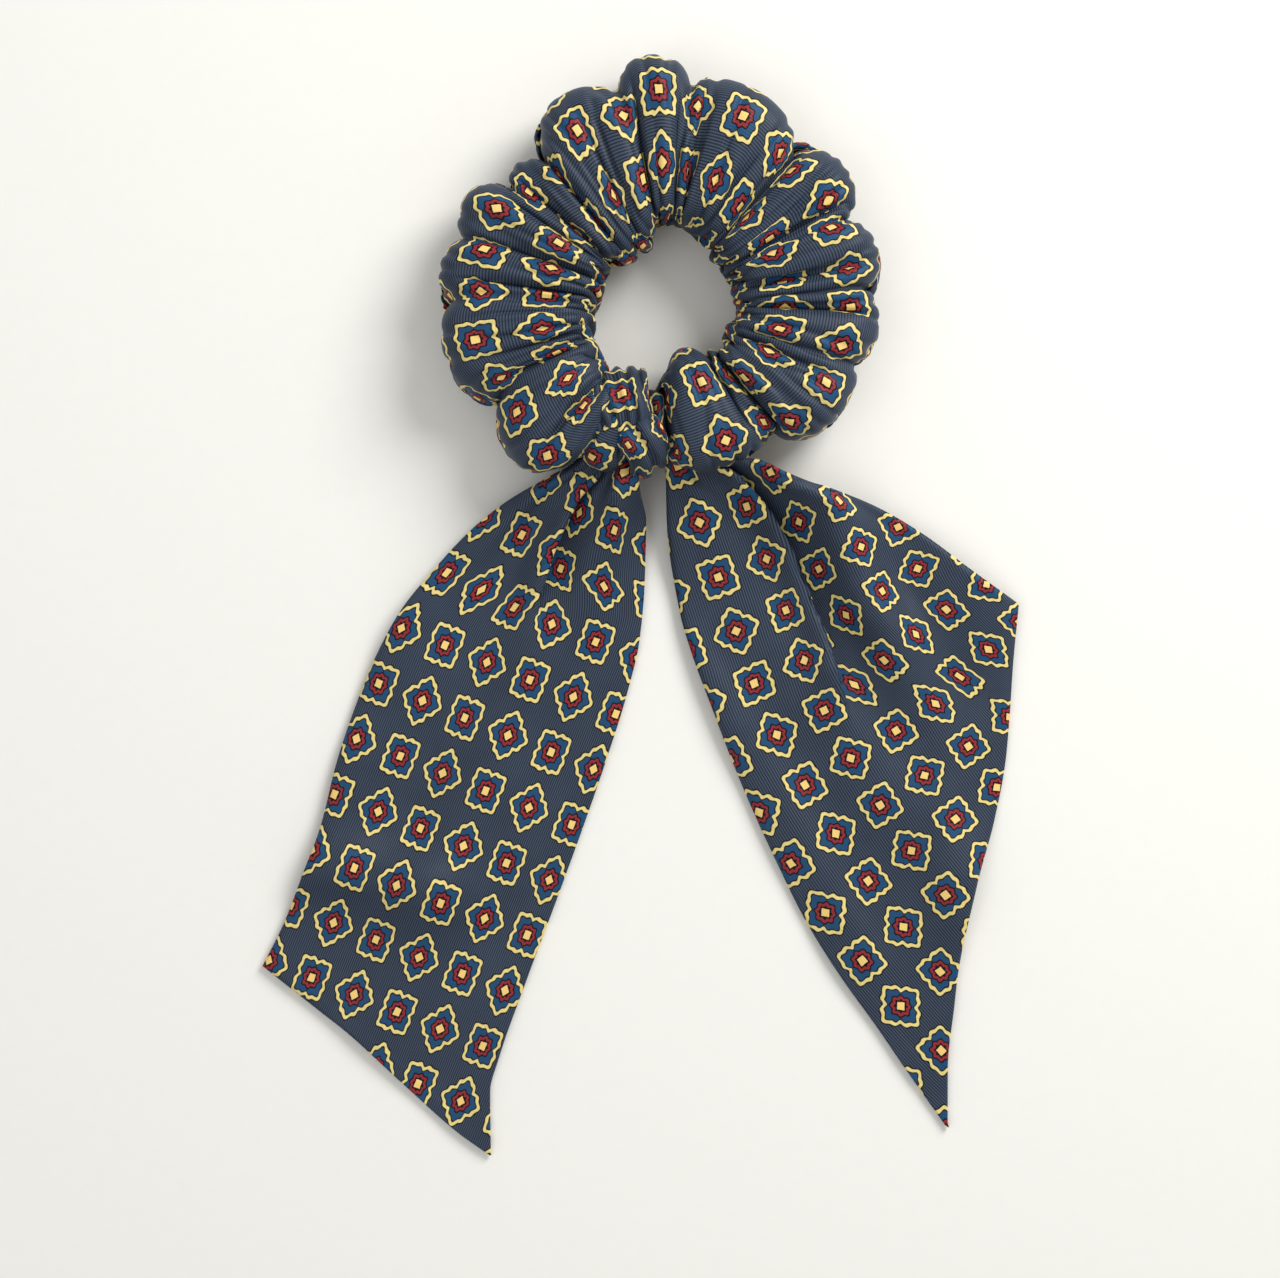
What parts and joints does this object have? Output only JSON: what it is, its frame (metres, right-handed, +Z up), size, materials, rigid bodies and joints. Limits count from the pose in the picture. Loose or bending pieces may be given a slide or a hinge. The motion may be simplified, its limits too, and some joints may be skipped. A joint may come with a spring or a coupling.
{
  "type": "scarf scrunchie",
  "caption": "Gathered satin hair scrunchie with a hidden elastic loop and a knotted scarf whose long tails hang from the knot.",
  "frame": {"origin": "middle of the whole object seen from above, on the surface it lies on", "axes": "+X to the viewer's right with the tails pointing down, +Y from the tails towards the ring, +Z up out of the surface"},
  "size_m": [0.19, 0.274, 0.0253],
  "materials": {
    "ring_satin": "satin",
    "scarf_satin": "satin",
    "elastic": "matte",
    "thread": "matte"
  },
  "bodies": {
    "ring_lower": {"cover_lower": "ring_satin", "cover_seam_lower": "thread", "elastic_band": "elastic", "elastic_stitch": "thread", "scarf_loop": "scarf_satin", "scarf_knot": "scarf_satin"},
    "ring_upper": {"cover_upper": "ring_satin", "cover_seam_upper": "thread", "closing_stitch": "thread"},
    "left_tail_upper": {"left_tail_upper_face": "scarf_satin", "left_tail_upper_back": "scarf_satin"},
    "left_tail_lower": {"left_tail_lower_face": "scarf_satin", "left_tail_lower_back": "scarf_satin"},
    "right_tail_upper": {"right_tail_upper_face": "scarf_satin", "right_tail_upper_back": "scarf_satin"},
    "right_tail_lower": {"right_tail_lower_face": "scarf_satin", "right_tail_lower_back": "scarf_satin"}
  },
  "joints": [
    {"name": "ring_stretch", "type": "slide", "parent": "ring_lower", "child": "ring_upper", "axis": [0, 1, 0], "range_m": [0, 0.06], "stiffness_N_per_m": 60, "deforming": ["elastic_band"]},
    {"name": "left_swing", "type": "hinge", "parent": "ring_lower", "child": "left_tail_upper", "pos_m": [-0.015, 0.0296, 0.00095], "axis": [-1, 0, 0], "range_deg": [-80, 80]},
    {"name": "left_fold", "type": "hinge", "parent": "left_tail_upper", "child": "left_tail_lower", "pos_m": [-0.045, -0.048, 0.00095], "axis": [-1, 0, 0], "range_deg": [-90, 90]},
    {"name": "right_swing", "type": "hinge", "parent": "ring_lower", "child": "right_tail_upper", "pos_m": [0.025, 0.0296, 0.00095], "axis": [-1, 0, 0], "range_deg": [-80, 80]},
    {"name": "right_fold", "type": "hinge", "parent": "right_tail_upper", "child": "right_tail_lower", "pos_m": [0.055, -0.045, 0.00095], "axis": [-1, 0, 0], "range_deg": [-90, 90]}
  ]
}
